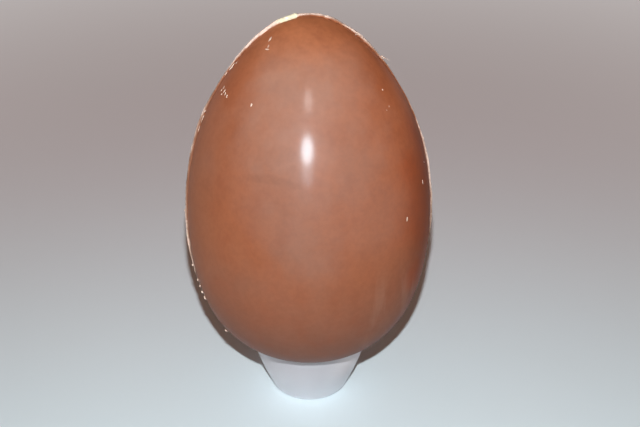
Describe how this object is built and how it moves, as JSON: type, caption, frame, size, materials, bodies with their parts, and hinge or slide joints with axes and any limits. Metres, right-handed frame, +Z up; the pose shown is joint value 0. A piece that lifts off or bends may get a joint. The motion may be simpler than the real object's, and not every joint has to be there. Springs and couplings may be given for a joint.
{
  "type": "chocolate egg",
  "caption": "Large moulded milk chocolate egg with a thin raised seam over its tip, standing on its fat end in a small plain white cup.",
  "frame": {"origin": "the middle of the cup's flat foot, on the table", "axes": "+Z up. -Y is the front, the smooth face of one half of the egg. The seam's two sides face -X and +X, and its left side lies 2.6 degrees forward of that. The egg leans back 8 degrees, towards +Y"},
  "size_m": [0.1337, 0.1318, 0.2199],
  "materials": {
    "milk_chocolate": "moulded milk chocolate, smooth, with a soft gloss",
    "white_plastic": "plain moulded plastic, satin"
  },
  "bodies": {
    "root": {"egg": "milk_chocolate", "cup": "white_plastic"}
  },
  "joints": []
}
